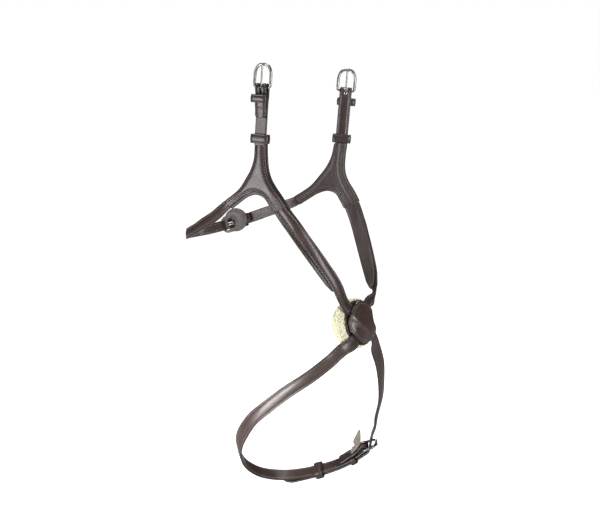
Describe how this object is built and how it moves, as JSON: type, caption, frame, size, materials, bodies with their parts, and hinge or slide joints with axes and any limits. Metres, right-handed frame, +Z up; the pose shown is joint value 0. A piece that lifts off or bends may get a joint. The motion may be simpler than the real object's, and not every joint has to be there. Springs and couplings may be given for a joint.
{
  "type": "grackle noseband",
  "caption": "Figure-eight noseband with two cheekpieces, forked to a jaw strap and a nose strap that cross in a padded disc and close under the chin.",
  "frame": {"origin": "midway between the bars of the two cheek buckles, where the headpiece holds the noseband", "axes": "+Z up, +X to the horse's left, -Y toward the nose"},
  "size_m": [0.1823, 0.2502, 0.4996],
  "materials": {
    "bridle_leather": "dark brown, waxed, satin",
    "lining_leather": "dark brown, soft, matt",
    "buckle_steel": "polished stainless steel",
    "sheepskin": "cream wool pile"
  },
  "bodies": {
    "straps": {"chin_buckle_guard": "bridle_leather", "chin_keeper": "bridle_leather", "jaw_billet": "bridle_leather", "jaw_buckle_guard": "bridle_leather", "jaw_buckle_strap": "bridle_leather", "jaw_keeper": "bridle_leather", "left_cheek_keeper": "bridle_leather", "left_cheek_strap": "bridle_leather", "left_crossing_strap": "bridle_leather", "left_fork_facing": "bridle_leather", "left_fork_lining": "lining_leather", "left_nose_lining": "lining_leather", "nose_disc_back": "bridle_leather", "nose_disc_front": "bridle_leather", "right_cheek_keeper": "bridle_leather", "right_cheek_strap": "bridle_leather", "right_crossing_strap": "bridle_leather", "right_fork_facing": "bridle_leather", "right_fork_lining": "lining_leather", "right_nose_lining": "lining_leather", "sheepskin_pad": "sheepskin"},
    "chin_buckle": {"chin_buckle": "buckle_steel", "chin_buckle_tongue": "buckle_steel"},
    "chin_runner": {"chin_runner": "bridle_leather"},
    "jaw_buckle": {"jaw_buckle": "buckle_steel"},
    "jaw_buckle_tongue": {"jaw_buckle_tongue": "buckle_steel"},
    "left_cheek_buckle": {"left_cheek_buckle": "buckle_steel"},
    "left_cheek_buckle_tongue": {"left_cheek_buckle_tongue": "buckle_steel"},
    "left_cheek_runner": {"left_cheek_runner": "bridle_leather"},
    "right_cheek_buckle": {"right_cheek_buckle": "buckle_steel"},
    "right_cheek_buckle_tongue": {"right_cheek_buckle_tongue": "buckle_steel"},
    "right_cheek_runner": {"right_cheek_runner": "bridle_leather"}
  },
  "joints": [
    {"name": "right_cheek_buckle_hinge", "type": "hinge", "parent": "straps", "child": "right_cheek_buckle", "pos_m": [-0.0805, -0.00035, 0], "axis": [0.1732, -0.9822, -0.0721], "range_deg": [-40, 40]},
    {"name": "right_cheek_tongue_hinge", "type": "hinge", "parent": "right_cheek_buckle", "child": "right_cheek_buckle_tongue", "pos_m": [-0.0805, -0.00035, 0], "axis": [0.1732, -0.9822, -0.0721], "range_deg": [0, 75]},
    {"name": "left_cheek_buckle_hinge", "type": "hinge", "parent": "straps", "child": "left_cheek_buckle", "pos_m": [0.0805, 0.00035, 0], "axis": [-0.5977, 0.7969, 0.0884], "range_deg": [-40, 40]},
    {"name": "left_cheek_tongue_hinge", "type": "hinge", "parent": "left_cheek_buckle", "child": "left_cheek_buckle_tongue", "pos_m": [0.0805, 0.00035, 0], "axis": [-0.5977, 0.7969, 0.0884], "range_deg": [0, 75]},
    {"name": "chin_buckle_hinge", "type": "hinge", "parent": "straps", "child": "chin_buckle", "pos_m": [0.06356, -0.03995, -0.4235], "axis": [0.849, 0.4355, 0.2993], "range_deg": [-3, 3]},
    {"name": "jaw_buckle_hinge", "type": "hinge", "parent": "straps", "child": "jaw_buckle", "pos_m": [0.01823, 0.12292, -0.15894], "axis": [0.0946, -0.2704, -0.9581], "range_deg": [-3, 3]},
    {"name": "jaw_tongue_hinge", "type": "hinge", "parent": "jaw_buckle", "child": "jaw_buckle_tongue", "pos_m": [0.01823, 0.12292, -0.15894], "axis": [0.0946, -0.2704, -0.9581], "range_deg": [0, 6]},
    {"name": "right_cheek_runner_slide", "type": "slide", "parent": "straps", "child": "right_cheek_runner", "axis": [0.0125, -0.071, 0.9974], "range_m": [0, 0.014]},
    {"name": "left_cheek_runner_slide", "type": "slide", "parent": "straps", "child": "left_cheek_runner", "axis": [0.053, -0.0707, 0.9961], "range_m": [0, 0.014]},
    {"name": "chin_runner_slide", "type": "slide", "parent": "straps", "child": "chin_runner", "axis": [0.3924, -0.8664, 0.3089], "range_m": [-0.004, 0.004]}
  ]
}
